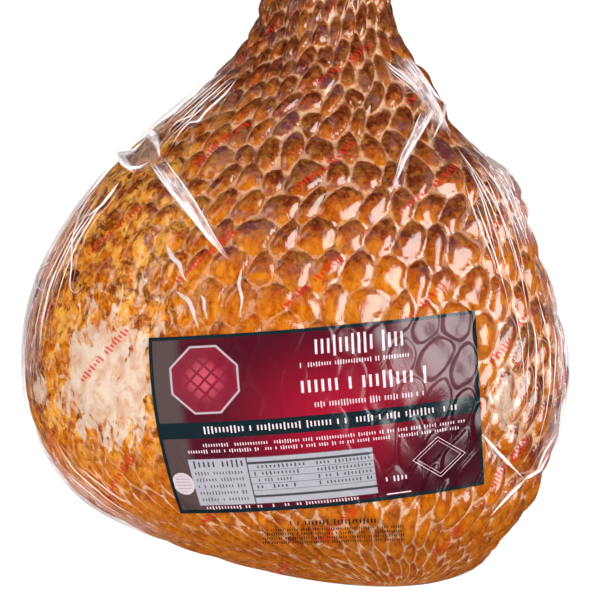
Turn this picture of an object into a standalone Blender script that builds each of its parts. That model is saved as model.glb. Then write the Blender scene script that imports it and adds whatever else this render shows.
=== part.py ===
"""A whole bone-in ham, netted and smoked, in its clear shrink bag, as one solid.

The ham lies on its flat side with the skin side up. Its long axis runs along Y, with the
wide butt end at -Y and the shank at +Y, and it rests on Z = 0.
"""

import math

import bmesh
import bpy
import numpy as np

MM = 0.001

# Driving dimensions, in metres
BUTT_END = -0.1975
SHANK_END = 0.1625
BUTT_ROUNDING = 0.046
SHANK_ROUNDING = 0.016
EQUATOR_SHARE = 0.46
UNDERSIDE_FULLNESS = 0.72

# The ham's form, butt to shank, in millimetres: distance along Y, middle, half width, top and
# underside. What lies below zero is pressed flat by the ham's own weight.
FORM = (
    (-197.5, 46.0, 89.0, 137.0, 2.0),
    (-174.0, 19.0, 96.0, 149.0, -4.0),
    (-150.0, 6.0, 115.0, 157.0, -8.0),
    (-118.0, 1.0, 131.0, 163.0, -9.0),
    (-80.0, 0.0, 135.5, 166.0, -9.0),
    (-48.0, -1.0, 129.0, 164.0, -9.0),
    (-12.0, 2.0, 114.0, 155.0, -9.0),
    (8.0, 6.5, 103.0, 146.0, -8.0),
    (30.0, 4.5, 78.0, 132.0, -6.0),
    (54.0, 12.0, 57.5, 115.0, -3.0),
    (70.0, 13.8, 44.0, 103.0, 0.0),
    (86.0, 15.0, 34.5, 94.0, 4.0),
    (110.0, 15.5, 30.5, 85.0, 9.0),
    (140.0, 16.0, 31.0, 80.0, 12.0),
    (162.5, 16.0, 29.0, 77.0, 15.0),
)

# The net that the ham was smoked in leaves rows of six-sided pillows. Its columns lean over the
# ham's top by a share of a column in each row.
NET_COLUMNS = 46
NET_ROWS = 27
NET_TWIST = 0.25
TWIST_FADES_FROM = math.radians(50)
TWIST_FADES_TO = math.radians(5)
PILLOW_HEIGHT = 1.7 * MM
NORMAL_STEP = 1e-4

# The bag's open end is drawn flat beyond the shank and sealed across.
TAIL_START = 0.146
TAIL_END = 0.1975
TAIL_FLAT_FROM = 0.176
TAIL_ROOT = 0.93
TAIL_HALF_WIDTH = 45.0 * MM
TAIL_HALF_THICKNESS = 1.1 * MM
TAIL_RIPPLE = 4.0 * MM
TAIL_RIPPLES = 3.5
TAIL_HEIGHT = 34.0 * MM
SEAL_BACK = 7.0 * MM
SEAL_HALF_LENGTH = 2.0 * MM
SEAL_SWELL = 0.9 * MM
TAIL_SEGMENTS = 44
TAIL_RINGS = 18

# Spare film stands up in tapered pleats: outer end, inner end and height at the outer end.
PLEATS = (
    ((-0.0800, 0.0165), (-0.0350, -0.0300), 5.5 * MM),
    ((0.0690, 0.0490), (0.0480, 0.0030), 5.0 * MM),
    ((0.1270, -0.1330), (0.0920, -0.1200), 2.5 * MM),
)
PLEAT_HALF_WIDTH = 3.2 * MM
PLEAT_TIP = 0.15
PLEAT_STEPS = 9
PLEAT_SINK = 2.5 * MM

FILM_ON_HAM = (0.80, 0.36, 0.07, 1.0)
FILM_GLOSS = 0.18


def through(column, along):
    """A smooth curve through one column of FORM, at distances along Y in metres."""
    table = np.array(FORM) * MM
    places, values = table[:, 0], table[:, column]
    slopes = np.gradient(values, places)
    slot = np.clip(np.searchsorted(places, along) - 1, 0, len(places) - 2)
    span = places[slot + 1] - places[slot]
    t = (along - places[slot]) / span
    start = (1 + 2 * t) * (1 - t) ** 2 * values[slot]
    end = t * t * (3 - 2 * t) * values[slot + 1]
    bend = t * (1 - t) * ((1 - t) * slopes[slot] - t * slopes[slot + 1]) * span
    return start + end + bend


def rounding(along):
    """How much of the full section is left at this distance along Y, 0 at either end."""
    butt = np.clip((along - BUTT_END) / BUTT_ROUNDING, 0, 1)
    shank = np.clip((SHANK_END - along) / SHANK_ROUNDING, 0, 1)
    return np.sqrt(1 - (1 - butt) ** 2) * np.sqrt(1 - (1 - shank) ** 2)


def section(along):
    """Middle, half width, top, equator and underside of the ham's section."""
    share = rounding(along)
    top, underside = through(3, along), through(4, along)
    equator = underside + EQUATOR_SHARE * (top - underside)
    return (
        through(1, along),
        share * through(2, along),
        equator + share * (top - equator),
        equator,
        equator - share * (equator - underside),
    )


def form(angle, along):
    """Points of the smooth ham. Angle 0 is its right side, and a quarter turn is its top."""
    middle, half_width, top, equator, underside = section(along)
    side, rise = np.cos(angle), np.sin(angle)
    upper = equator + (top - equator) * np.maximum(rise, 0)
    lower = (equator - underside) * np.maximum(-rise, 0) ** UNDERSIDE_FULLNESS
    return np.stack([middle + half_width * side, along, upper - lower], axis=-1)


def form_normal(angle, along):
    """Outward unit normals of the smooth ham."""
    ends = np.clip(along, BUTT_END + 2 * NORMAL_STEP, SHANK_END - 2 * NORMAL_STEP)
    round_step = form(angle + NORMAL_STEP, ends) - form(angle - NORMAL_STEP, ends)
    long_step = form(angle, ends + NORMAL_STEP) - form(angle, ends - NORMAL_STEP)
    normal = np.cross(long_step, round_step)
    length = np.linalg.norm(normal, axis=-1, keepdims=True)
    return normal / np.maximum(length, 1e-12)


def distance_along(row):
    """Where a row of the net lies along Y: rows are even along the ham's top line."""
    turn = np.linspace(0, math.pi, 600)
    along = BUTT_END + (SHANK_END - BUTT_END) * (1 - np.cos(turn)) / 2
    top_line = form(np.full_like(along, math.pi / 2), along)
    steps = np.linalg.norm(np.diff(top_line, axis=0), axis=1)
    length = np.concatenate([[0], np.cumsum(steps)])
    return np.interp(np.asarray(row) / NET_ROWS * length[-1], length, along)


def net_angle(column, row):
    """Angle round the ham of a place on the net, which is twisted over the ham's top."""
    angle = 2 * math.pi * column / NET_COLUMNS
    fade = (angle % (2 * math.pi) - TWIST_FADES_TO) / (TWIST_FADES_FROM - TWIST_FADES_TO)
    back = (2 * math.pi - angle % (2 * math.pi)) / math.pi
    over = np.clip(fade, 0, 1) * np.clip(back, 0, 1)
    return angle - 2 * math.pi / NET_COLUMNS * NET_TWIST * over * (row - NET_ROWS / 2)


def net_ring(row, shift, height):
    """One ring of points on the ham, a net column apart, raised by height."""
    column = np.arange(NET_COLUMNS) + shift
    angle = net_angle(column, row)
    along = np.full(NET_COLUMNS, float(distance_along(row)))
    points = form(angle, along) + height * form_normal(angle, along)
    points[:, 2] = np.maximum(points[:, 2], 0)
    return points


def linked(mesh_name, bm):
    """A mesh object in the scene from a bmesh."""
    mesh = bpy.data.meshes.new(mesh_name)
    bm.to_mesh(mesh)
    bm.free()
    made = bpy.data.objects.new(mesh_name, mesh)
    bpy.context.scene.collection.objects.link(made)
    return made


def make_netted_ham(name):
    """The ham in its tight film: one six-sided pillow for each opening of the net."""
    bm = bmesh.new()
    sides, tips = [], []
    for row in range(NET_ROWS):
        shift = row / 2
        sides.append([bm.verts.new(p) for p in net_ring(row + 1 / 3, shift + 1 / 2, 0.0)])
        tips.append([bm.verts.new(p) for p in net_ring(row + 2 / 3, shift, 0.0)])
    for row in range(1, NET_ROWS):
        middles = net_ring(row, row / 2, PILLOW_HEIGHT)
        for i, middle in enumerate(middles):
            right = (i + 1) % NET_COLUMNS
            corners = (
                sides[row][i],
                tips[row][i],
                sides[row][i - 1],
                tips[row - 1][i],
                sides[row - 1][i],
                tips[row - 1][right],
            )
            top = bm.verts.new(middle)
            for a, b in zip(corners, corners[1:] + corners[:1]):
                bm.faces.new((top, a, b))
    butt = bm.verts.new(form(np.array(0.0), np.array(BUTT_END)))
    shank = bm.verts.new(form(np.array(0.0), np.array(SHANK_END)))
    for i in range(NET_COLUMNS):
        right = (i + 1) % NET_COLUMNS
        bm.faces.new((butt, sides[0][i], tips[0][i]))
        bm.faces.new((butt, tips[0][right], sides[0][i]))
        bm.faces.new((shank, tips[-1][i], sides[-1][i]))
        bm.faces.new((shank, sides[-1][i - 1], tips[-1][i]))
    bmesh.ops.recalc_face_normals(bm, faces=bm.faces)
    return linked(name, bm)


def make_tail(name):
    """The bag's sealed end: round where it leaves the shank, then flat, rippled and sealed."""
    bm = bmesh.new()
    middle, half_width, top, equator, underside = section(np.array(TAIL_START))
    start_height = (top + underside) / 2
    rings = []
    for step in range(TAIL_RINGS + 1):
        along = TAIL_START + (TAIL_END - TAIL_START) * step / TAIL_RINGS
        share = min(1.0, (along - TAIL_START) / (TAIL_FLAT_FROM - TAIL_START))
        ease = share * share * (3 - 2 * share)
        wide = (1 - ease) * TAIL_ROOT * half_width + ease * TAIL_HALF_WIDTH
        seal = max(0.0, 1 - abs(along - TAIL_END + SEAL_BACK) / SEAL_HALF_LENGTH)
        thick = (1 - ease) * TAIL_ROOT * (top - underside) / 2 + ease * TAIL_HALF_THICKNESS
        thick += SEAL_SWELL * seal
        height = (1 - ease) * start_height + ease * TAIL_HEIGHT
        ring = []
        for k in range(TAIL_SEGMENTS):
            turn = 2 * math.pi * k / TAIL_SEGMENTS
            across = math.cos(turn)
            ripple = ease * TAIL_RIPPLE * math.sin(TAIL_RIPPLES * math.pi * across + 0.6)
            up = math.copysign(abs(math.sin(turn)) ** (1 - 0.5 * ease), math.sin(turn))
            ring.append(bm.verts.new((middle + wide * across, along, height + ripple + thick * up)))
        rings.append(ring)
    for near, far in zip(rings, rings[1:]):
        for k in range(TAIL_SEGMENTS):
            after = (k + 1) % TAIL_SEGMENTS
            bm.faces.new((near[k], near[after], far[after], far[k]))
    bm.faces.new(rings[0])
    bm.faces.new(rings[-1])
    bmesh.ops.recalc_face_normals(bm, faces=bm.faces)
    bmesh.ops.triangulate(bm, faces=bm.faces)
    return linked(name, bm)


def top_point(across, along):
    """Height of the smooth ham's skin side over a place on the ground."""
    middle, half_width, top, equator, _ = section(np.array(along))
    side = min(1.0, max(-1.0, float((across - middle) / half_width)))
    return float(equator + (top - equator) * math.sqrt(1 - side * side))


def make_pleat(name, outer, inner, height):
    """A tapered fold of spare film that stands on the ham between two places."""
    bm = bmesh.new()
    outer, inner = np.array(outer), np.array(inner)
    way = (inner - outer) / np.linalg.norm(inner - outer)
    beside = np.array([-way[1], way[0]])
    rings = []
    for step in range(PLEAT_STEPS + 1):
        share = step / PLEAT_STEPS
        across, along = outer + (inner - outer) * share
        taper = 1 - (1 - PLEAT_TIP) * share
        ground = top_point(across, along)
        crest = ground + height * taper * math.sqrt(taper * (2 - taper))
        half = PLEAT_HALF_WIDTH * taper
        low = ground - PLEAT_SINK - 2 * half
        rings.append([
            bm.verts.new((across, along, crest)),
            bm.verts.new((*(np.array([across, along]) + beside * half), low)),
            bm.verts.new((*(np.array([across, along]) - beside * half), low)),
        ])
    for near, far in zip(rings, rings[1:]):
        for k in range(3):
            bm.faces.new((near[k], near[(k + 1) % 3], far[(k + 1) % 3], far[k]))
    bm.faces.new(rings[0])
    bm.faces.new(rings[-1])
    bmesh.ops.recalc_face_normals(bm, faces=bm.faces)
    bmesh.ops.triangulate(bm, faces=bm.faces)
    return linked(name, bm)


def join(main, extras):
    """Makes main and the extras one solid with a Boolean union, and removes the extras."""
    joined = bpy.data.collections.new("joined to the ham")
    bpy.context.scene.collection.children.link(joined)
    for extra in extras:
        bpy.context.scene.collection.objects.unlink(extra)
        joined.objects.link(extra)
    union = main.modifiers.new("union", "BOOLEAN")
    union.operation = "UNION"
    union.operand_type = "COLLECTION"
    union.collection = joined
    union.solver = "MANIFOLD"
    bpy.context.view_layer.update()
    evaluated = main.evaluated_get(bpy.context.evaluated_depsgraph_get())
    main.data = bpy.data.meshes.new_from_object(evaluated)
    main.modifiers.clear()
    for extra in extras:
        bpy.data.objects.remove(extra)
    bpy.data.collections.remove(joined)


def film_over_ham():
    """Smoked amber meat seen through glossy film."""
    material = bpy.data.materials.new("film_over_ham")
    material.use_nodes = True
    shader = material.node_tree.nodes["Principled BSDF"]
    shader.inputs["Base Color"].default_value = FILM_ON_HAM
    shader.inputs["Roughness"].default_value = FILM_GLOSS
    shader.inputs["Metallic"].default_value = 0.0
    return material


def main():
    for old in list(bpy.data.objects):
        bpy.data.objects.remove(old)
    whole = bpy.data.collections.new("bagged ham")
    bpy.context.scene.collection.children.link(whole)
    ham = make_netted_ham("ham_in_bag")
    extras = [make_tail("bag_tail")]
    for number, (outer, inner, height) in enumerate(PLEATS):
        extras.append(make_pleat(f"pleat_{number}", outer, inner, height))
    join(ham, extras)
    ham.data.materials.clear()
    ham.data.materials.append(film_over_ham())
    bpy.context.scene.collection.objects.unlink(ham)
    whole.objects.link(ham)


main()
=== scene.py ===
"""Looks of a whole smoked ham on the bone in its clear printed shrink bag.

Everything is in the solids' frame: metres, butt end at -Y, shank at +Y, label side up.
"""

import functools
import math

import bpy
import numpy as np
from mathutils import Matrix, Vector


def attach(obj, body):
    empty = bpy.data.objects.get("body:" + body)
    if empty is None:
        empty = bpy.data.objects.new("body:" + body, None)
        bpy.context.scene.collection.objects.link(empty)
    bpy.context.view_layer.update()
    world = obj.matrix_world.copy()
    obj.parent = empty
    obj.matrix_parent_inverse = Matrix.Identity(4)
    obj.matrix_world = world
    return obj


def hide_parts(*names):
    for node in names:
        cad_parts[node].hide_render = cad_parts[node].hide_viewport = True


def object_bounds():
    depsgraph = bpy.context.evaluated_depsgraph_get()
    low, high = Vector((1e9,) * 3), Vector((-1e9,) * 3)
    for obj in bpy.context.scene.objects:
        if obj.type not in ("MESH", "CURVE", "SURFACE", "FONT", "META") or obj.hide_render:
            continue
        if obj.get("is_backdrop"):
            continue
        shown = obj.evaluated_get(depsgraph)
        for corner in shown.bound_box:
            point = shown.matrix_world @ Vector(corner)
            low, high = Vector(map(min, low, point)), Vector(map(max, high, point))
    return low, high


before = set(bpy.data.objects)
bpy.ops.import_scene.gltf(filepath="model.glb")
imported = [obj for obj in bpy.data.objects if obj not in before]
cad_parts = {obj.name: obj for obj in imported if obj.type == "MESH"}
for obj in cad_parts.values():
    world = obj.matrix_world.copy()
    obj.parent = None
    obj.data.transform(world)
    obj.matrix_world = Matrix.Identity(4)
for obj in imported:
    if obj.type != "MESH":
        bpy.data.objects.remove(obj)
solids_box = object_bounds()

MM = 0.001

# The ham's form, butt to shank, in millimetres, as the solid has it: distance along Y, middle,
# half width, top and underside.
BUTT_END = -0.1975
SHANK_END = 0.1625
BUTT_ROUNDING = 0.046
SHANK_ROUNDING = 0.016
EQUATOR_SHARE = 0.46
UNDERSIDE_FULLNESS = 0.72
FORM = (
    (-197.5, 46.0, 89.0, 137.0, 2.0),
    (-174.0, 19.0, 96.0, 149.0, -4.0),
    (-150.0, 6.0, 115.0, 157.0, -8.0),
    (-118.0, 1.0, 131.0, 163.0, -9.0),
    (-80.0, 0.0, 135.5, 166.0, -9.0),
    (-48.0, -1.0, 129.0, 164.0, -9.0),
    (-12.0, 2.0, 114.0, 155.0, -9.0),
    (8.0, 6.5, 103.0, 146.0, -8.0),
    (30.0, 4.5, 78.0, 132.0, -6.0),
    (54.0, 12.0, 57.5, 115.0, -3.0),
    (70.0, 13.8, 44.0, 103.0, 0.0),
    (86.0, 15.0, 34.5, 94.0, 4.0),
    (110.0, 15.5, 30.5, 85.0, 9.0),
    (140.0, 16.0, 31.0, 80.0, 12.0),
    (162.5, 16.0, 29.0, 77.0, 15.0),
)
NORMAL_STEP = 1e-4

# The smoking net: openings round the ham and along it, and how they lie over the label side.
# Each sight gives a place, then the step to the next opening on the left and the step of one
# row towards the shank, in millimetres seen from above.
NET_COLUMNS = 46
NET_ROWS = 27
NET_SIGHTS = (
    ((47, -33), (-15.5, 2.0), (3.9, 16.3)),
    ((35, 16), (-16.0, -2.5), (3.2, 16.7)),
    ((17, -33), (-17.2, -0.3), (3.1, 19.1)),
    ((-13, -4), (-14.0, -1.5), (2.1, 14.6)),
    ((-20, 24), (-11.3, -0.5), (1.7, 10.1)),
    ((67, -68), (-13.7, 4.5), (4.6, 18.7)),
)
ROW_STEP = math.sqrt(3) / 2
OPENING_TIP = 0.49
OPENING_SLOPE = 2 * OPENING_TIP - ROW_STEP
OPENING_ROUNDNESS = 3.6
NET_WANDER = 0.15
WANDER_WAVES = 20

# A pillow's dome and the cut round it, as shares of its height, and the widths of the cut and of
# what film and label bridge, as shares of an opening
PILLOW_HEIGHT = 2.4 * MM
DOME_POWER = 2.7
DOME_REACH = 1.1
DOME_BASE = 0.6
CUT_DEPTH = 0.15
CUT_WIDTH = 0.035
FILM_BRIDGE_WIDTH = 0.05
LABEL_BRIDGE_WIDTH = 0.06
LABEL_SAG = (0.16, 0.34)
FILM_BRIDGE = 0.3 * MM
FILM_GAP = 0.3 * MM
LABEL_GAP = 0.2 * MM
LOOSE_GAP = 1.2 * MM
MEAT_OFF_GROUND = 0.1 * MM

TOP_COLUMNS = 300
UNDER_COLUMNS = 90
RINGS = 244

# Picture places are given in the photograph's pixels, half a millimetre each.
PIXEL = 0.5 * MM
PIXEL_X0 = 295.5
PIXEL_Y0 = 193.0
SETTLE_STEPS = 6
SETTLE_SHARE = 0.8


def from_pixels(px, py):
    """X and Y in metres of a place seen from above, given in pixels."""
    return (np.asarray(px) - PIXEL_X0) * PIXEL, (PIXEL_Y0 - np.asarray(py)) * PIXEL


def through(column, along):
    """A smooth curve through one column of FORM, at distances along Y in metres."""
    table = np.array(FORM) * MM
    places, values = table[:, 0], table[:, column]
    slopes = np.gradient(values, places)
    slot = np.clip(np.searchsorted(places, along) - 1, 0, len(places) - 2)
    span = places[slot + 1] - places[slot]
    t = (along - places[slot]) / span
    start = (1 + 2 * t) * (1 - t) ** 2 * values[slot]
    end = t * t * (3 - 2 * t) * values[slot + 1]
    bend = t * (1 - t) * ((1 - t) * slopes[slot] - t * slopes[slot + 1]) * span
    return start + end + bend


def rounding(along):
    """How much of the full section is left at this distance along Y, 0 at either end."""
    butt = np.clip((along - BUTT_END) / BUTT_ROUNDING, 0, 1)
    shank = np.clip((SHANK_END - along) / SHANK_ROUNDING, 0, 1)
    return np.sqrt(1 - (1 - butt) ** 2) * np.sqrt(1 - (1 - shank) ** 2)


def section(along):
    """Middle, half width, top, equator and underside of the ham's section."""
    share = rounding(along)
    top, underside = through(3, along), through(4, along)
    equator = underside + EQUATOR_SHARE * (top - underside)
    return (
        through(1, along),
        share * through(2, along),
        equator + share * (top - equator),
        equator,
        equator - share * (equator - underside),
    )


def smooth_form(angle, along):
    """Points of the smooth ham. Angle 0 is its right side, and a quarter turn is its top."""
    middle, half_width, top, equator, underside = section(along)
    side, rise = np.cos(angle), np.sin(angle)
    upper = equator + (top - equator) * np.maximum(rise, 0)
    lower = (equator - underside) * np.maximum(-rise, 0) ** UNDERSIDE_FULLNESS
    return np.stack([middle + half_width * side, along + 0 * angle, upper - lower], axis=-1)


def outward(angle, along):
    """Outward unit normals of the smooth ham."""
    inner = np.clip(along, BUTT_END + 2 * NORMAL_STEP, SHANK_END - 2 * NORMAL_STEP)
    round_step = smooth_form(angle + NORMAL_STEP, inner) - smooth_form(angle - NORMAL_STEP, inner)
    long_step = smooth_form(angle, inner + NORMAL_STEP) - smooth_form(angle, inner - NORMAL_STEP)
    normal = np.cross(long_step, round_step)
    length = np.linalg.norm(normal, axis=-1, keepdims=True)
    return normal / np.maximum(length, 1e-12)


def blend(low, high, value):
    """0 below low, 1 above high and a smooth step between."""
    share = np.clip((value - low) / (high - low), 0, 1)
    return share * share * (3 - 2 * share)


def spot(x, y, centre, reach):
    """A soft round patch, 1 in its middle, by place seen from above in millimetres."""
    across = (x / MM - centre[0]) / reach[0]
    along = (y / MM - centre[1]) / reach[1]
    return np.exp(-(across**2 + along**2))


TOP_LINE_Y = BUTT_END + (SHANK_END - BUTT_END) * (1 - np.cos(np.linspace(0, math.pi, 600))) / 2
TOP_LINE = smooth_form(np.full(600, math.pi / 2), TOP_LINE_Y)
TOP_LENGTH = np.concatenate([[0], np.cumsum(np.linalg.norm(np.diff(TOP_LINE, axis=0), axis=1))])


def row_at(along):
    """Rows of the net counted from the butt, at this distance along Y."""
    return np.interp(along, TOP_LINE_Y, TOP_LENGTH) / TOP_LENGTH[-1] * NET_ROWS


def along_at(row):
    """Distance along Y of a row of the net."""
    return np.interp(np.asarray(row) / NET_ROWS * TOP_LENGTH[-1], TOP_LENGTH, TOP_LINE_Y)


def lean_terms(angle, row):
    """The smooth terms that the net's lean is made of. They fade out under the ham."""
    over = blend(-0.75, 0.25, np.sin(angle))
    turn = (np.mod(angle + math.pi / 2, 2 * math.pi) - math.pi) / (math.pi / 2)
    way = row / NET_ROWS * 2 - 1
    return np.stack(
        [over * term for term in (turn, way, turn * turn, turn * way, way * way)], axis=-1
    )


def angle_over(x, y):
    """Angle round the ham of the place on its label side that is seen at x, y."""
    middle, half_width, *_ = section(y)
    return np.arccos(np.clip((x - middle) / half_width, -1, 1))


def fit_net_lean():
    """Weights of the lean terms for columns and rows that best give the sights."""
    small = 0.01
    slopes, wanted_columns, wanted_rows = [], [], []
    for place, left, up in NET_SIGHTS:
        x, y = place[0] * MM, place[1] * MM
        angle, row = float(angle_over(x, np.array(y))), float(row_at(y))
        turn = 2 * math.pi / NET_COLUMNS

        def seen(columns, rows):
            there = smooth_form(np.array(angle + turn * columns), along_at(row + rows))
            return there[:2] / MM

        pairs = ((seen(small, 0), seen(-small, 0)), (seen(0, small), seen(0, -small)))
        steps = np.stack([(after - before) / (2 * small) for after, before in pairs], axis=1)
        wanted = np.linalg.inv(np.array([left, up]).T) @ steps - np.eye(2)
        for side in range(2):
            shift = (turn * small, 0.0) if side == 0 else (0.0, small)
            after = lean_terms(angle + shift[0], row + shift[1])
            before = lean_terms(angle - shift[0], row - shift[1])
            slopes.append((after - before) / (2 * small))
            wanted_columns.append(wanted[0, side])
            wanted_rows.append(wanted[1, side])
    slopes = np.array(slopes)
    square = slopes.T @ slopes + 0.002 * np.eye(slopes.shape[1])
    return [
        np.linalg.solve(square, slopes.T @ np.array(wanted))
        for wanted in (wanted_columns, wanted_rows)
    ]


COLUMN_LEAN, ROW_LEAN = fit_net_lean()


def unevenness(angle, row, seed):
    """A smooth random wander of the net's cords, the same on every run."""
    draw = np.random.default_rng(seed)
    total = 0.0
    for wave in range(WANDER_WAVES):
        round_waves = draw.integers(2, 12 + wave)
        long_waves = draw.uniform(-1.2, 1.2) * (1 + wave / 8)
        total = total + np.sin(round_waves * angle + long_waves * row + draw.uniform(0, 6.28))
    return total / WANDER_WAVES**0.5


def net_place(angle, along):
    """Where a point lies on the net: along its slanting chains of openings, and across them."""
    row = row_at(along)
    terms = lean_terms(angle, row)
    columns = NET_COLUMNS * angle / (2 * math.pi) + terms @ COLUMN_LEAN
    rows = row + terms @ ROW_LEAN
    columns = columns + NET_WANDER * unevenness(angle, row, 3)
    rows = rows + NET_WANDER * unevenness(angle, row, 5)
    return 0.75 * rows - columns / 2, -(columns + rows / 2) * ROW_STEP


def fraction(value):
    """The part after the point, of numbers or of a Wire."""
    return value.fraction() if isinstance(value, Wire) else np.mod(value, 1)


def slant(inside_across, inside_up):
    """How near a place is to an opening's slanted sides, 1 on them."""
    return (abs(inside_up) + 2 * OPENING_SLOPE * abs(inside_across)) / OPENING_TIP


def in_opening(across, up):
    """Place inside the nearest opening, a long six-sided one, measured from its middle, and the
    distance to its edge. The places are numbers or Wires."""
    tall = 2 * ROW_STEP
    first = (fraction(across + 0.5) - 0.5, fraction(up / tall + 0.5) * tall - ROW_STEP)
    second = (fraction(across) - 0.5, fraction(up / tall) * tall - ROW_STEP)
    nearer = slant(*first) < slant(*second)
    inside_across, inside_up = (b + nearer * (a - b) for a, b in zip(first, second))
    power = OPENING_ROUNDNESS
    reach = (abs(inside_across) * 2) ** power + slant(inside_across, inside_up) ** power
    return inside_across, inside_up, (1 - reach ** (1 / power)) * 0.5


def net_grip(point):
    """How deep the net bit in, 0 to 1: little on the fat at the left and at the ends."""
    x, y = point[..., 0], point[..., 1]
    fat = spot(x, y, (-104, -62), (48, 78))
    left = 0.45 * blend(-60 * MM, -110 * MM, x) * blend(30 * MM, -10 * MM, y)
    taut = 0.55 * spot(x, y, (-22, -118), (74, 46))
    butt = blend(BUTT_END - 2 * MM, BUTT_END + 26 * MM, y)
    shank = blend(SHANK_END, SHANK_END - 30 * MM, y)
    return np.clip(1 - 0.85 * fat - left - taut, 0.12, 1) * butt * (0.4 + 0.6 * shank)


def lumps_of(angle, along):
    """How much the pillows differ in height, as a share of it."""
    return 0.22 * unevenness(2 * angle, 2 * row_at(along), 11)


def pillow(angle, along):
    """Height of the meat over the smooth form, distance to an opening's edge, and the grip."""
    *_, edge = in_opening(*net_place(angle, along))
    dome = 1 - np.minimum(1 - 2 * edge, DOME_REACH) ** DOME_POWER
    cut = np.exp(-np.maximum(edge, 0) / CUT_WIDTH)
    grip = net_grip(smooth_form(angle, along))
    share = dome - CUT_DEPTH * cut - DOME_BASE + lumps_of(angle, along)
    return PILLOW_HEIGHT * grip * share, edge, grip


def on_ham(angle, along, layer):
    """Points on the meat, the film over it, the label on the film or loose film over both."""
    height, edge, grip = pillow(angle, along)
    if layer == "loose":
        height = 0 * height + FILM_GAP + LOOSE_GAP
    elif layer != "meat":
        bridge = np.exp(-np.maximum(edge, 0) / FILM_BRIDGE_WIDTH)
        height = height + FILM_GAP + grip * FILM_BRIDGE * bridge
    flat = smooth_form(angle, along)
    if layer == "label":
        sag = LABEL_SAG[0] + LABEL_SAG[1] * blend(25 * MM, 75 * MM, flat[..., 0])
        soft = np.exp(-((np.maximum(edge, 0) / LABEL_BRIDGE_WIDTH) ** 2))
        crest = PILLOW_HEIGHT * grip * (1 - DOME_BASE + lumps_of(angle, along) - sag * soft)
        height = np.maximum(crest + FILM_GAP, height) + LABEL_GAP
    points = flat + height[..., None] * outward(angle, along)
    points[..., 2] = np.maximum(points[..., 2], MEAT_OFF_GROUND if layer == "meat" else 0)
    return points


def above(x, y, layer, lift=0.0):
    """Points of a layer on the label side that are seen from above at x, y. A place beyond the
    outline is level with the ham's side."""
    x, y = np.asarray(x, float), np.asarray(y, float)
    want_x, want_y = x.copy(), y.copy()
    for _ in range(SETTLE_STEPS):
        got = on_ham(angle_over(want_x, want_y), want_y, layer)
        want_x = want_x + SETTLE_SHARE * (x - got[..., 0])
        want_y = want_y + SETTLE_SHARE * (y - got[..., 1])
    angle = angle_over(want_x, want_y)
    points = on_ham(angle, want_y, layer)
    points[..., 0], points[..., 1] = x, y
    return points + lift * outward(angle, want_y)


def linked(name, points, faces, edges=()):
    """A smooth mesh object in the scene."""
    mesh = bpy.data.meshes.new(name)
    mesh.from_pydata(points, edges, faces)
    mesh.validate()
    mesh.shade_smooth()
    made = bpy.data.objects.new(name, mesh)
    bpy.context.scene.collection.objects.link(made)
    return made


def shares(columns, rows):
    """Shares across and down, 0 to 1, of a grid of points."""
    return np.meshgrid(np.linspace(0, 1, columns), np.linspace(0, 1, rows))


def sheet_of(name, points, out):
    """A grid of points as a smooth sheet that faces out, with shares across and up as its UVs."""
    rows, columns = points.shape[:2]
    grid = np.arange(columns * rows).reshape(rows, columns)
    quads = np.stack([grid[1:, :-1], grid[1:, 1:], grid[:-1, 1:], grid[:-1, :-1]], axis=-1)
    middle = (rows // 2, columns // 2)
    run = points[middle[0], middle[1] + 1] - points[middle]
    rise = points[middle[0] - 1, middle[1]] - points[middle]
    if np.cross(run, rise) @ out[middle] < 0:
        quads = quads[..., ::-1]
    made = linked(name, points.reshape(-1, 3).tolist(), quads.reshape(-1, 4).tolist())
    across, down = shares(columns, rows)
    places = np.stack([across, 1 - down], axis=-1).reshape(-1, 2)
    paint_loops(made, "label", places[quads.reshape(-1)])
    return made


def tube_faces(rings, around):
    """Four-sided faces of a tube whose points come ring by ring."""
    here = np.arange(rings * around).reshape(rings, around)
    after = np.roll(here, -1, axis=1)
    return np.stack([here[:-1], here[1:], after[1:], after[:-1]], axis=-1).reshape(-1, 4).tolist()


def paint_loops(made, layer, places):
    """Stores a UV map from one place for each face corner."""
    uv = made.data.uv_layers.new(name=layer)
    uv.uv.foreach_set("vector", np.asarray(places, np.float32).ravel())


def paint_points(made, layer, values):
    """Stores one number for each point."""
    kept = made.data.attributes.new(layer, "FLOAT", "POINT")
    kept.data.foreach_set("value", np.asarray(values, np.float32).ravel())


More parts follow.
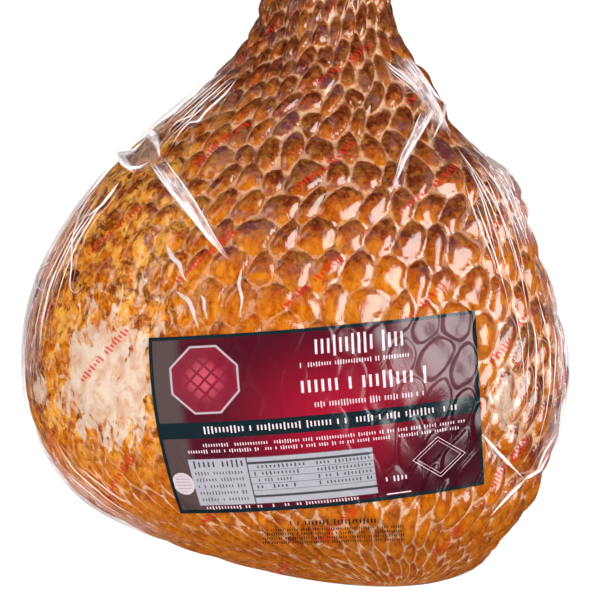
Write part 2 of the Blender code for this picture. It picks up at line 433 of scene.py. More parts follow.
def make_wrap(name, layer):
    """A closed layer round the whole ham, finest on the label side."""
    over = np.linspace(0, math.pi, TOP_COLUMNS, endpoint=False)
    under = np.linspace(math.pi, 2 * math.pi, UNDER_COLUMNS, endpoint=False)
    angle = np.concatenate([over, under])
    around = len(angle)
    along = along_at((np.arange(RINGS) + 0.6) / (RINGS + 0.2) * NET_ROWS)
    points = on_ham(*np.meshgrid(angle, along), layer)
    ends = [smooth_form(np.array(0.0), np.array(end)) for end in (BUTT_END, SHANK_END)]
    vertices = np.concatenate([points.reshape(-1, 3), ends])
    faces = tube_faces(RINGS, around)
    butt, shank = len(vertices) - 2, len(vertices) - 1
    last_ring = (RINGS - 1) * around
    for k in range(around):
        after = (k + 1) % around
        faces += [(butt, k, after), (shank, last_ring + after, last_ring + k)]
    made = linked(name, vertices.tolist(), faces)

    closed, along = np.meshgrid(np.append(angle, 2 * math.pi), along)
    lengths = np.linalg.norm(np.diff(smooth_form(closed, along), axis=1), axis=2)
    girth = np.concatenate([np.zeros((RINGS, 1)), np.cumsum(lengths, axis=1)], axis=1)
    girth -= girth[:, [TOP_COLUMNS // 2]]
    far = np.interp(along, TOP_LINE_Y, TOP_LENGTH)
    for uv_name, uv in (("net", net_place(closed, along)), ("wrap", (girth, far))):
        here, after = (np.stack(uv, axis=-1)[:, k : k + around] for k in range(2))
        body = np.stack([here[:-1], here[1:], after[1:], after[:-1]], axis=2)
        fans = np.stack([here[0], here[0], after[0], here[-1], after[-1], here[-1]], axis=1)
        paint_loops(made, uv_name, np.concatenate([body.reshape(-1, 2), fans.reshape(-1, 2)]))
    return made, vertices


SKIN_LAYERS = ("smoke", "fat", "lines", "dark_spots_and_shade", "mottled")


def skin_marks(vertices):
    """How the skin differs from place to place: browned by smoke, bare fat with a painted glare
    patch on the right, how pale the net's lines are, small dark spots, the lower one painted
    shade in the pits of puckered film, and how mottled it is."""
    x, y = vertices[:, 0], vertices[:, 1]
    smoke = 0.12 + 0.78 * blend(-95 * MM, 35 * MM, y)
    smoke = smoke * (1 - 0.6 * spot(x, y, (-100, -25), (40, 62)))
    smoke = np.maximum(smoke, 0.66 * blend(88 * MM, 112 * MM, x) * blend(-175 * MM, -120 * MM, y))
    smoke = np.maximum(smoke, 0.62 * spot(x, y, (35, -10), (70, 42)))
    margin = blend(-119 * MM, -129 * MM, x) * blend(-125 * MM, -90 * MM, y)
    smoke = np.maximum(smoke, 0.95 * margin)
    fat = 1.25 * spot(x, y, (-92, -92), (24, 33)) + 0.3 * spot(x, y, (-66, -50), (22, 16))
    # The pale patch low on the right is a painted glare: the film's reflection of a light, carried
    # in the fat layer.
    fat = np.maximum(fat, 0.7 * spot(x, y, (104, -108), (12, 24)))
    fat = np.maximum(fat, 1.3 * spot(x, y, (-127, -97), (4, 7)))
    lines = 0.2 + 0.65 * blend(-25 * MM, 45 * MM, y)
    lines = np.maximum(lines, 0.6 * blend(-5 * MM, -50 * MM, x) * blend(-60 * MM, 10 * MM, y))
    lines = np.maximum(lines, 0.85 * blend(80 * MM, 105 * MM, x))
    lines = np.maximum(lines, 0.9 * blend(-124 * MM, -154 * MM, y))
    lines = lines * (1 - 0.85 * spot(x, y, (-100, -62), (40, 62)))
    # Two small dark spots; the lower one is painted shade in the pits of a puckered film knot
    # beside the pale patch.
    dark_spots_and_shade = 0.8 * spot(x, y, (-109, -42), (4, 6)) + 0.6 * spot(x, y, (-124.5, -103), (3, 4))
    mottled = 0.15 + 0.85 * blend(-28 * MM, -80 * MM, x) * (1 - 0.6 * margin)
    mottled = mottled * (1 - 0.75 * blend(-112 * MM, -142 * MM, y))
    return [np.clip(values, 0, 1) for values in (smoke, fat, lines, dark_spots_and_shade, mottled)]


def math_method(operation):
    """A method of Wire that adds a Math node."""
    return lambda self, *others: self.maths(operation, self, *others)


class Wire:
    """A socket's number, so that node maths reads as plain expressions."""

    def __init__(self, bench, socket):
        self.bench, self.socket = bench, socket

    def maths(self, operation, *values):
        return self.bench.wire("ShaderNodeMath", {"operation": operation}, dict(enumerate(values)))

    __add__ = __radd__ = math_method("ADD")
    __mul__ = __rmul__ = math_method("MULTIPLY")
    __sub__ = math_method("SUBTRACT")
    __truediv__ = math_method("DIVIDE")
    __pow__ = math_method("POWER")
    __lt__ = math_method("LESS_THAN")
    __gt__ = math_method("GREATER_THAN")
    __abs__ = math_method("ABSOLUTE")
    most = math_method("MAXIMUM")
    least = math_method("MINIMUM")
    fraction = math_method("FRACT")
    floor = math_method("FLOOR")
    root = math_method("SQRT")
    sine = math_method("SINE")

    def __rsub__(self, other):
        return self.maths("SUBTRACT", other, self)

    def step(self, low, high):
        """0 at low, 1 at high and smooth between; low may be the greater."""
        sockets = {"Value": self, "From Min": low, "From Max": high}
        return self.bench.wire("ShaderNodeMapRange", {"interpolation_type": "SMOOTHSTEP"}, sockets)

    def between(self, low, high, soft):
        """1 from low to high, with soft edges."""
        return self.step(low - soft, low + soft) * self.step(high + soft, high - soft)


class Bench:
    """Builds one node tree."""

    def __init__(self, tree):
        self.tree = tree

    def node(self, kind, settings=None, sockets=None):
        """Any node: its settings first, then the values or links of its sockets."""
        made = self.tree.nodes.new(kind)
        for name, value in (settings or {}).items():
            setattr(made, name, value)
        for name, value in (sockets or {}).items():
            self.feed(made.inputs[name], value)
        return made

    def feed(self, socket, value):
        if isinstance(value, Wire):
            self.tree.links.new(value.socket, socket)
        elif isinstance(value, bpy.types.NodeSocket):
            self.tree.links.new(value, socket)
        else:
            socket.default_value = value

    def out(self, kind, settings=None, sockets=None):
        """The first output of any node."""
        return self.node(kind, settings, sockets).outputs[0]

    def wire(self, kind, settings=None, sockets=None, output=0):
        return Wire(self, self.node(kind, settings, sockets).outputs[output])

    def mix_colour(self, share, first, second):
        sockets = {0: share, 6: first, 7: second}
        return self.node("ShaderNodeMix", {"data_type": "RGBA"}, sockets).outputs[2]

    def coat(self, under, share, *colour):
        """A colour with a paint over it."""
        return self.mix_colour(share, under, paint(*colour))

    def tones(self, share, *colours):
        """A colour between two paints."""
        return self.mix_colour(share, *(paint(*colour) for colour in colours))

    def noise(self, where, scale, detail=3.0, roughness=0.55, distortion=0.0):
        sockets = {"Vector": where, "Scale": scale, "Detail": detail, "Roughness": roughness}
        return self.wire("ShaderNodeTexNoise", {}, {**sockets, "Distortion": distortion})

    def place(self):
        """Object coordinates."""
        return self.node("ShaderNodeTexCoord").outputs["Object"]

    def streaks(self, scale, turn, detail, roughness, distortion):
        """Noise over the object, stretched on each axis and turned about Z."""
        sockets = {"Vector": self.place(), "Scale": scale, "Rotation": (0.0, 0.0, turn)}
        where = self.out("ShaderNodeMapping", {}, sockets)
        return self.noise(where, 1.0, detail, roughness, distortion)

    def split(self, vector):
        parts = self.node("ShaderNodeSeparateXYZ", {}, {0: vector}).outputs
        return [Wire(self, part) for part in parts]

    def uv(self, name):
        across, up, _ = self.split(self.out("ShaderNodeUVMap", {"uv_map": name}))
        return across, up

    def stored(self, name):
        return self.wire("ShaderNodeAttribute", {"attribute_name": name}, output="Fac")

    def bump(self, height, depth, strength=1.0):
        sockets = {"Height": height, "Distance": depth, "Strength": strength}
        return self.out("ShaderNodeBump", {}, sockets)

    def principled(self, sockets):
        return self.out("ShaderNodeBsdfPrincipled", {}, sockets)

    def transparent(self, red=1.0, green=1.0, blue=1.0):
        return self.out("ShaderNodeBsdfTransparent", {}, {"Color": (red, green, blue, 1.0)})

    def mix_shaders(self, share, first, second):
        return self.out("ShaderNodeMixShader", {}, {0: share, 1: first, 2: second})


def new_finish(name):
    """A material with an empty bench to build on."""
    material = bpy.data.materials.new(name)
    material.use_nodes = True
    material.node_tree.nodes.clear()
    return material, Bench(material.node_tree)


def finished(material, bench, shader):
    bench.node("ShaderNodeOutputMaterial", {}, {"Surface": shader})
    return material


def paint(*colour):
    """A colour as a screen shows it, 0 to 255, as linear light."""
    shown = [part / 255 for part in colour]
    linear = [((c + 0.055) / 1.055) ** 2.4 if c > 0.04 else c / 12.92 for c in shown]
    return (*linear, 1.0)


def smoked_meat():
    """Amber to dark brown skin, pale net lines and creamy bare fat, with painted sheen, gleam,
    glare and pit shade.
    """
    material, bench = new_finish("smoked_meat")
    place = bench.place()
    across, up = bench.uv("net")
    inside_across, inside_up, edge = in_opening(across, up)
    smoke, fat, lines, dark_spots_and_shade, mottled = (bench.stored(kept) for kept in SKIN_LAYERS)

    column = ((across - inside_across) * 2 + 0.5).floor()
    row = ((up - inside_up) / ROW_STEP + 0.5).floor()
    cell = bench.out("ShaderNodeCombineXYZ", {}, {0: column, 1: row})
    chance = bench.wire("ShaderNodeTexWhiteNoise", {"noise_dimensions": "2D"}, {"Vector": cell})

    blotch = bench.noise(place, 75.0, 4.0)
    fleck = bench.noise(place, 190.0, 3.0)
    grain = bench.noise(place, 420.0, 4.0, 0.65)
    streak = bench.streaks((260.0, 90.0, 160.0), 0.5, 4.0, 0.6, 0.6)

    browned = inside_across - inside_up * 0.75 + (blotch - 0.5) * 1.3 + (fleck - 0.5) * 1.3
    browned = browned + (chance - 0.5) * 0.6 + (smoke - 0.60) * 1.5
    amber = bench.tones(streak.step(0.32, 0.68), (192, 92, 4), (224, 138, 26))
    tan = bench.tones(grain.step(0.35, 0.65), (158, 66, 14), (192, 98, 38))
    brown = bench.tones(grain.step(0.35, 0.65), (92, 32, 22), (146, 60, 28))
    skin = bench.mix_colour(browned.step(-0.55, 0.0), amber, tan)
    skin = bench.mix_colour(browned.step(-0.05, 0.4), skin, brown)

    # Mauve patches, mostly over the smoked upper cells: a painted sheen, the film's reflection of
    # the dim surroundings put into the skin's colour.
    sheen_noise = bench.noise(place, 88.0, 2.0, 0.5, 0.6)
    painted_sheen = sheen_noise.step(0.52, 0.64) * (smoke * 0.62 + mottled * 0.12)
    skin = bench.coat(skin, painted_sheen, 126, 84, 102)
    gold = bench.streaks((115.0, 70.0, 95.0), -0.5, 5.0, 0.65, 0.8)
    skin = bench.coat(skin, gold.step(0.45, 0.60) * mottled * 0.9, 252, 194, 86)
    rust = bench.streaks((130.0, 80.0, 100.0), 0.6, 5.0, 0.65, 0.8)
    skin = bench.coat(skin, rust.step(0.48, 0.40) * mottled * 0.85, 124, 50, 6)
    mottle = bench.noise(place, 300.0, 3.0, 0.6, 0.7)
    light_flecks = mottle.step(0.50, 0.66) * (0.2 + mottled * 0.4)
    skin = bench.coat(skin, light_flecks, 246, 180, 72)
    dark_flecks = mottle.step(0.46, 0.32) * (0.45 + mottled * 0.2)
    skin = bench.coat(skin, dark_flecks, 104, 38, 8)

    rough_edge = edge + (grain - 0.5) * 0.14 + (fleck - 0.5) * 0.24
    width = 0.25 + lines * 0.9 + (blotch - 0.5) * 1.3
    across_line = rough_edge / width.most(0.08)
    wide_line = across_line.step(0.11, 0.0) * (0.2 + lines * 0.6) * (1 - mottled * 0.5)
    peach = bench.tones(grain.step(0.35, 0.65), (238, 160, 74), (202, 110, 36))
    skin = bench.mix_colour(wide_line, skin, peach)
    # The lines' near-white middle is partly the unsmoked line's own pale colour and partly a
    # painted highlight, the gleam of film that bridges the groove.
    line_gleam = across_line.step(0.06, -0.03) * (0.15 + lines * 0.8) * (1 - mottled * 0.4)
    line_gleam = line_gleam * mottle.step(0.30, 0.48)
    skin = bench.coat(skin, line_gleam, 255, 226, 194)

    flame = bench.streaks((230.0, 110.0, 200.0), -0.35, 4.0, 0.6, 1.2)
    uneven = (flame - 0.5) * 2.4 + (blotch - 0.5) * 0.9
    # Bare fat in cream, and with it the painted glare patch that the fat layer holds on the right.
    bare = (fat + uneven).step(0.38, 0.7) * fat.step(0.04, 0.25)
    cream = bench.tones(gold.step(0.34, 0.62), (220, 184, 154), (232, 219, 204))
    cream = bench.coat(cream, fleck.step(0.46, 0.32) * 0.5, 218, 152, 122)
    skin = bench.mix_colour(bare * 0.92, skin, cream)
    # Small dark spots in dark brown, one of them painted shade in pits.
    skin = bench.coat(skin, (dark_spots_and_shade + (fleck - 0.5) * 1.6).step(0.45, 0.7), 100, 42, 16)

    height = grain * 0.5 + streak * 0.8 + blotch * 0.4
    relief = bench.bump(height, 0.5 * MM, 0.6)
    dull = {"Roughness": 0.5, "Specular IOR Level": 0.05, "Normal": relief}
    return finished(material, bench, bench.principled({"Base Color": skin, **dull}))


# The red strokes: the slant of their lines, the lines' distance, how far each line is shifted,
# the length of a group with its gap, and one stroke with its gap
MARK_SLANT = math.radians(42)
MARK_LINE = 46 * MM
MARK_SHIFT = 31 * MM
MARK_GROUP = 74 * MM
MARK_STROKE = 2.3 * MM
MARK_HALF_HEIGHT = 1.1 * MM


def red_marks(bench):
    """Rows of small red strokes in short groups, slantwise round the bag."""
    across, up = bench.uv("wrap")
    run = up * math.sin(MARK_SLANT) - across * math.cos(MARK_SLANT)
    rise = up * math.cos(MARK_SLANT) + across * math.sin(MARK_SLANT)
    line = rise / MARK_LINE
    band = (line.fraction() - 0.5) * MARK_LINE
    shifted = run + line.floor() * MARK_SHIFT
    group = (shifted / MARK_GROUP).fraction()
    stroke = ((shifted + band * 0.3) / MARK_STROKE).fraction()
    chance = ((shifted / MARK_STROKE).floor() * 0.37).fraction()
    inside = abs(band) < (chance.step(0.3, 0.9) + 1.0) * MARK_HALF_HEIGHT
    strokes = stroke.between(0.28, 0.72, 0.05)
    return inside * strokes * group.between(0.12, 0.36, 0.01).most(group.between(0.40, 0.64, 0.01))


def crinkled(bench):
    """The normal of tight film with fine crinkles."""
    return bench.bump(bench.streaks((190.0, 120.0, 150.0), 0.7, 3.0, 0.6, 1.2), 0.5 * MM, 0.5)


def glazed(bench, under, normal, roughness=0.16, gain=6.0):
    """Any shader seen through glossy film."""
    sockets = {"Color": (1.0, 1.0, 1.0, 1.0), "Roughness": roughness, "Normal": normal}
    gloss = bench.out("ShaderNodeBsdfGlossy", {}, sockets)
    shine = bench.wire("ShaderNodeFresnel", {}, {"IOR": 1.62, "Normal": normal})
    return bench.mix_shaders((shine * gain).least(0.42), under, gloss)


def clear_film():
    """Tight glossy clear film with fine crinkles and rows of red strokes."""
    material, bench = new_finish("clear_film")
    film = glazed(bench, bench.transparent(1.0, 0.99, 0.985), crinkled(bench))
    red = bench.principled({"Base Color": paint(190, 26, 16), "Roughness": 0.3})
    return finished(material, bench, bench.mix_shaders(red_marks(bench) * 0.72, film, red))


# Painted light: a glow in milky film that stands in for light coming through it from the pale
# ground
FILM_GLOW = {"Emission Color": (1.0, 0.97, 0.97, 1.0), "Emission Strength": 0.16}


def loose_film(name, veil, glow=0.16):
    """Doubled or creased film, which looks milky."""
    material, bench = new_finish(name)
    crinkle = bench.streaks((150.0, 60.0, 150.0), 0.8, 3.0, 0.5, 0.8)
    normal = bench.bump(crinkle, 0.5 * MM, 0.4)
    look = {"Base Color": paint(234, 224, 222), "Roughness": 0.5, "Normal": normal, **FILM_GLOW}
    milky = bench.principled({**look, "Emission Strength": glow})
    clear = bench.transparent(0.97, 0.95, 0.95)
    body = bench.mix_shaders(crinkle.step(0.2, 0.7) * (veil * 0.4) + veil * 0.6, clear, milky)
    return finished(material, bench, glazed(bench, body, normal, 0.2, 1.5))


# Label layout, as shares of its width from the left and of its height from the top
LABEL_BORDER = 0.011
BAND = (0.487, 0.578)
BADGE = (0.165, 0.25, 0.105)
PANEL = (0.075, 0.653, 0.695, 0.955)
PANEL_SPLIT = 0.257
OVAL = (0.042, 0.83, 0.034)
LOZENGE = (0.86, 0.80, 0.085, 0.115)
LABEL_SHAPE = 1.83

# Lines of bars: left, right, middle, half height and number of bars
SMALL_BAR = 0.0105
PANEL_LINES = [PANEL[2] + (PANEL[3] - PANEL[2]) * (0.215 + 0.1434 * line) for line in range(4)]
BARS_ON_FIELD = (
    (0.50, 0.78, 0.108, 0.058, 15),
    (0.455, 0.80, 0.205, 0.013, 42),
    (0.45, 0.845, 0.325, 0.048, 19),
    (0.49, 0.83, 0.43, 0.018, 38),
    (0.14, 0.94, 0.533, 0.021, 68),
    (0.13, 0.95, 0.618, 0.011, 100),
    (0.08, 0.93, 0.652, 0.011, 106),
    (0.09, 0.60, 0.970, 0.010, 52),
    (0.68, 0.755, 0.885, 0.016, 6),
)
LEFT_BARS = (
    (0.085, 0.248, 0.725, 0.022, 11),
    *((0.085, 0.24, 0.775 + 0.037 * line, SMALL_BAR, 16) for line in range(5)),
)
MIDDLE_BARS = [
    (0.27, stop, at, SMALL_BAR, 13) for stop, at in zip((0.44, 0.43, 0.40, 0.44), PANEL_LINES)
]
RIGHT_BARS = [(0.47, 0.645, at, SMALL_BAR, 15) for at in PANEL_LINES]
BARS_ON_PANEL = ((MIDDLE_BARS, 20), (RIGHT_BARS, 30), (LEFT_BARS, 40))
BLACK_BARS = (
    (0.16, 0.80, 0.17, 0.11, 26),
    *((0.02, 0.98, 0.42 + 0.16 * line, 0.055, 62) for line in range(4)),
)


def bars(across, down, left, right, middle, half, count, seed):
    """A line of small bars of uneven height and spacing."""
    run = (across - left) / (right - left) * count
    chance = ((run.floor() * 12.9898 + seed * 4.137).sine() * 43.7585).fraction()
    bar = run.fraction().between(0.30, 0.68, 0.08) * (chance > 0.18)
    tall = half * (0.7 + 0.3 * ((chance * 7.3).fraction() > 0.7))
    return bar * (abs(down - middle) < tall) * across.between(left, right, 0.001)


def all_bars(across, down, lines, seed):
    """Several lines of bars, each with the next seed."""
    made = [bars(across, down, *line, seed + k) for k, line in enumerate(lines)]
    return functools.reduce(Wire.most, made)


def round_glow(across, down, centre_across, centre_down, reach_across, reach_down):
    """A soft round glow, 1 in its middle."""
    a = (across - centre_across) / reach_across
    d = (down - centre_down) / reach_down
    return (a * a + d * d).root().step(1.0, 0.0)


def label_print():
    """Maroon label, dark-bordered, with a chequered badge and a ruled white panel, and painted
    light and shade on its field.
    """
    material, bench = new_finish("label_print")
    across, up = bench.uv("label")
    down = 1 - up

    # The field is lightest in its middle and darkens towards its edges: a painted pool of light
    # with painted falloff.
    glow = round_glow(across, down, 0.55, 0.5, 0.42, 0.55)
    field = bench.tones(glow, (62, 8, 22), (130, 10, 34))
    ink = paint(14, 28, 32)
    band = down.between(*BAND, 0.002)
    field = bench.coat(field, across.step(0.105, 0.07), 66, 52, 50)
    right_end = across.step(0.66, 0.84)
    # A pale veil over the upper right end is a painted sheen, the film's glare put into the
    # print's colour.
    field = bench.coat(field, right_end * down.step(0.5, 0.36) * 0.12, 176, 146, 146)
    # The lower right end darkens: painted shade where the light falls off.
    field = bench.coat(field, right_end * down.step(0.55, 0.66) * 0.4, 34, 6, 16)
    colour = bench.mix_colour(band, field, ink)

    badge_across = abs((across - BADGE[0]) / BADGE[2])
    badge_down = abs((down - BADGE[1]) / (BADGE[2] * LABEL_SHAPE))
    corner = (badge_across + badge_down) * 0.72
    badge = badge_across.most(badge_down).most(corner)
    colour = bench.coat(colour, badge < 1.0, 150, 136, 142)
    colour = bench.coat(colour, badge < 0.94, 104, 14, 34)
    both_ways = (badge_across + badge_down, abs(badge_across - badge_down))
    falling, rising = ((way * 2.4).fraction().between(0.12, 0.88, 0.03) for way in both_ways)
    chequer = falling * rising
    glow = bench.tones(badge.step(0.8, 0.1), (98, 14, 34), (160, 50, 68))
    colour = bench.mix_colour((badge < 0.8) * chequer, colour, glow)

    pale = paint(226, 206, 210)
    prints = all_bars(across, down, BARS_ON_FIELD, 1)
    prints = prints.most(down.between(0.965, 0.972, 0.001) * across.between(0.68, 0.76, 0.001))
    colour = bench.mix_colour(prints * 0.75, colour, pale)

    panel = across.between(PANEL[0], PANEL[1], 0.001) * down.between(PANEL[2], PANEL[3], 0.002)
    rule_place = (down - PANEL[2]) / (PANEL[3] - PANEL[2])
    right = across.step(PANEL_SPLIT - 0.001, PANEL_SPLIT + 0.001)
    fine_rules = (rule_place * 7).fraction().between(0.0, 0.06, 0.01)
    bold_rules = rule_place.between(0.10, 0.15, 0.01).most(rule_place.between(0.82, 0.87, 0.01))
    split = across.between(PANEL_SPLIT - 0.002, PANEL_SPLIT + 0.002, 0.0005)
    marks = right * fine_rules.most(bold_rules)
    for lines, seed in BARS_ON_PANEL:
        marks = marks.most(all_bars(across, down, lines, seed))
    marks = marks.most(split)
    sheet = bench.tones(marks * 0.9, (140, 138, 145), (22, 20, 26))
    colour = bench.mix_colour(panel, colour, sheet)

    oval_across = (across - OVAL[0]) / OVAL[2]
    oval_down = (down - OVAL[1]) / (OVAL[2] * LABEL_SHAPE)
    oval = (oval_across * oval_across + oval_down * oval_down).root()
    stripes = (oval_down * 3.5).fraction().between(0.3, 0.7, 0.1) * (oval < 0.75)
    disc = bench.tones(stripes * 0.45, (170, 156, 160), (100, 76, 82))
    colour = bench.mix_colour(oval < 1.0, colour, disc)

    lozenge = abs(across - LOZENGE[0]) / LOZENGE[2] + abs(down - LOZENGE[1]) / LOZENGE[3]
    outline = lozenge.between(0.97, 1.0, 0.01).most(lozenge.between(0.80, 0.82, 0.01))
    colour = bench.mix_colour(outline * 0.85, colour, pale)

    rim = across.least(1 - across).least(down.least(1 - down) / LABEL_SHAPE)
    colour = bench.mix_colour(rim < LABEL_BORDER, colour, ink)

    ink_coat = bench.principled({"Base Color": colour, "Roughness": 0.4})
    return finished(material, bench, glazed(bench, ink_coat, crinkled(bench), 0.2, 2.6))


def small_black_print():
    """Lines of small black bars on clear film."""
    material, bench = new_finish("small_black_print")
    across, up = bench.uv("label")
    marks = all_bars(across, 1 - up, BLACK_BARS, 51)
    ink = bench.principled({"Base Color": paint(20, 16, 14), "Roughness": 0.2})
    return finished(material, bench, bench.mix_shaders(marks * 0.95, bench.transparent(), ink))


def make_patch(name, edges, columns, rows):
    """A printed patch that follows the film. Edges gives a pixel place for shares across, down."""
    x, y = from_pixels(*edges(*shares(columns, rows)))
    return sheet_of(name, above(x, y, "label"), outward(angle_over(x, y), y))


def label_edges(across, down):
    """Pixel places of the label, whose sides bow with the ham."""
    left = 151 + 31 * down**2
    right = 473 + 9.5 * down
    bow = 4 * across * (1 - across)
    top = 337.3 - 27.5 * across + 3.5 * bow
    bottom = 511 - 28.5 * across + 6 * bow
    return left + (right - left) * across, top + (bottom - top) * down


def black_print_edges(across, down):
    """Pixel places of the small black bars below the label."""
    return 258 + 147 * across + 2 * down, 516 - 4 * across + 27 * down


def claim(made):
    """Puts a piece on the part's body."""
    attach(made, "root")


def finish(made, material):
    """Gives a piece its material and claims it."""
    made.data.materials.clear()
    made.data.materials.append(material)
    claim(made)


FOLD_KNOTS = 24
FOLD_RINGS = 60
FOLD_SIDES = 12


def make_fold_tree(material):
    """A tapered, rippled fold of film that follows a path."""
    tree = bpy.data.node_groups.new("film_fold", "GeometryNodeTree")
    face = tree.interface
    face.new_socket("Geometry", in_out="INPUT", socket_type="NodeSocketGeometry")
    for name, value in (("Half Width", 0.002), ("Height", 0.001), ("Ripple", 0.0006)):
        face.new_socket(name, in_out="INPUT", socket_type="NodeSocketFloat").default_value = value
    face.new_socket("Geometry", in_out="OUTPUT", socket_type="NodeSocketGeometry")
    bench = Bench(tree)
    given = bench.node("NodeGroupInput").outputs
    path = bench.out("GeometryNodeMeshToCurve", {}, {"Mesh": given["Geometry"]})
    path = bench.out("GeometryNodeResampleCurve", {}, {"Curve": path, "Count": FOLD_RINGS})
    path = bench.out("GeometryNodeSetCurveNormal", {"mode": "Z_UP"}, {"Curve": path})
    share = bench.wire("GeometryNodeSplineParameter", output="Factor")
    taper = (share * 5).least((1 - share) * 2.2).least(1.0).most(0.04)
    circle = {"Resolution": FOLD_SIDES, "Radius": 1.0}
    ring = bench.out("GeometryNodeCurvePrimitiveCircle", {}, circle)
    sizes = {0: given["Half Width"], 1: given["Height"], 2: 1.0}
    size = bench.out("ShaderNodeCombineXYZ", {}, sizes)
    profile = bench.out("GeometryNodeTransform", {}, {"Geometry": ring, "Scale": size})
    swept = {"Curve": path, "Profile Curve": profile, "Scale": taper, "Fill Caps": True}
    tube = bench.out("GeometryNodeCurveToMesh", {}, swept)
    wander = bench.node("ShaderNodeTexNoise", {}, {"Scale": 130.0, "Detail": 1.0})
    around_zero = {0: wander.outputs["Color"], 1: (0.5, 0.5, 0.5)}
    centred = bench.out("ShaderNodeVectorMath", {"operation": "SUBTRACT"}, around_zero)
    scaled = {0: centred, "Scale": given["Ripple"]}
    offset = bench.out("ShaderNodeVectorMath", {"operation": "SCALE"}, scaled)
    moved = bench.out("GeometryNodeSetPosition", {}, {"Geometry": tube, "Offset": offset})
    solid = bench.out("GeometryNodeRealizeInstances", {}, {"Geometry": moved})
    coated = {"Geometry": solid, "Material": material}
    bench.node(
        "NodeGroupOutput", {}, {"Geometry": bench.out("GeometryNodeSetMaterial", {}, coated)}
    )
    return tree


def socket_key(tree, name):
    """The identifier of a tree's named input."""
    return next(
        item.identifier for item in tree.interface.items_tree
        if item.name == name and item.in_out == "INPUT"
    )


def traced(side, share):
    """Picture places at shares of the way along a line of them."""
    px, py = np.array(side, float).T
    knots = np.linspace(0, 1, len(px))
    return np.stack([np.interp(share, knots, px), np.interp(share, knots, py)])


def make_fold(name, tree, places, *sizes):
    """One fold of film through picture places, laid on the film. Its sizes, half width, height
    and ripple, are in millimetres."""
    points = above(*from_pixels(*traced(places, np.linspace(0, 1, FOLD_KNOTS))), "loose")
    steps = [(k, k + 1) for k in range(FOLD_KNOTS - 1)]
    made = linked(name, points.tolist(), [], steps)
    fold = made.modifiers.new("fold", "NODES")
    fold.node_group = tree
    for socket, size in zip(("Half Width", "Height", "Ripple"), sizes):
        fold[socket_key(tree, socket)] = size * MM
    bpy.context.view_layer.update()
    evaluated = made.evaluated_get(bpy.context.evaluated_depsgraph_get())
    made.data = bpy.data.meshes.new_from_object(evaluated)
    made.modifiers.clear()
    made.data.shade_smooth()
    claim(made)


# Folds of spare film: picture places, half width, height and ripple in millimetres
FOLDS = {
    "left_pleat_edge": (
        ((152, 166), (170, 190), (188, 212), (210, 240), (230, 261)), 0.7, 0.7, 0.3
    ),
    "left_pleat_brim": (
        ((164, 158), (180, 180), (197, 204), (213, 232), (230, 260)), 0.5, 0.6, 0.3
    ),
    "ear_foot": (((118, 153), (123, 161), (130, 168), (139, 168), (149, 163)), 2.1, 1.3, 0.6),
    "ear_tip": (((117, 152), (125, 153), (134, 150), (141, 143), (148, 134)), 1.2, 0.9, 0.5),
    "ear_horn": (((146, 131), (153, 136), (158, 146), (160, 158)), 2.4, 1.2, 0.7),
    "right_pleat_edge": (((436, 108), (420, 134), (404, 160), (390, 194)), 0.6, 0.6, 0.5),
    "right_pleat_brim": (((422, 110), (412, 134), (400, 158), (391, 190)), 0.4, 0.5, 0.5),
    "flap_peak": (((410, 56), (424, 76), (436, 94), (446, 102)), 0.8, 0.8, 0.4),
    "flap_hem": (((446, 102), (444, 116), (436, 132), (430, 144)), 0.8, 0.8, 0.4),
    "flap_thread": (((384, 60), (402, 74), (418, 88), (428, 102)), 0.35, 0.4, 0.4),
    "crease_by_label": (
        ((177, 290), (184, 296), (191, 301), (195, 309), (197, 318), (202, 330)), 1.1, 0.6, 1.0
    ),
    "crease_near_label": (((202, 294), (206, 300), (206, 308), (209, 320)), 0.8, 0.5, 1.0),
    "crease_over_label": (
        ((168, 246), (174, 258), (181, 264), (184, 275), (190, 284)), 1.2, 0.6, 1.0
    ),
    "crease_in_amber": (((243, 268), (240, 284), (243, 300), (240, 318)), 0.8, 0.5, 1.0),
    "left_fin": (((50, 262), (39, 267), (34, 276), (37, 287), (45, 293)), 1.0, 0.9, 0.5),
    "upper_left_thread": (
        ((237, 79), (226, 94), (207, 111), (199, 122), (189, 123), (180, 133), (170, 150)),
        0.55, 0.5, 0.3,
    ),
    "upper_left_second_thread": (
        ((222, 89), (211, 95), (197, 108), (192, 116), (176, 122), (164, 140)), 0.45, 0.5, 0.3,
    ),
    "left_thread": (
        ((120, 182), (111, 195), (103, 205), (92, 214), (84, 218)), 0.6, 0.5, 0.3,
    ),
    "left_second_thread": (
        ((100, 184), (87, 199), (79, 216), (73, 240), (73, 266), (71, 288), (77, 294), (88, 285)),
        0.5, 0.5, 0.3,
    ),
    "left_low_thread": (((60, 262), (50, 290), (43, 322), (40, 352)), 0.45, 0.5, 0.4),
    "lower_right_pleat": (((478, 431), (500, 455), (523, 478)), 0.8, 0.8, 0.4),
    "lower_right_arm": (((523, 479), (540, 470), (551, 452)), 1.0, 0.8, 0.5),
    "lower_right_twig": (((536, 472), (545, 450), (558, 432)), 0.6, 0.6, 0.4),
    "lower_right_tail": (((524, 479), (506, 496), (489, 515)), 0.9, 0.8, 0.5),
}


# Bands of doubled film: picture places along one side and the other, and how far the film
# stands off in millimetres
STRIPS = {
    "left_pleat": (
        ((150, 166), (169, 190), (187, 212), (209, 240), (230, 261)),
        ((165, 158), (181, 180), (198, 204), (214, 232), (231, 260)),
        1.2,
    ),
    "right_pleat": (
        ((438, 106), (422, 134), (406, 160), (391, 194)),
        ((420, 110), (411, 134), (400, 158), (390, 193)),
        1.2,
    ),
    "right_flap": (
        ((410, 56), (432, 88), (444, 114), (452, 136)),
        ((386, 56), (406, 84), (424, 108), (438, 132)),
        1.4,
    ),
}

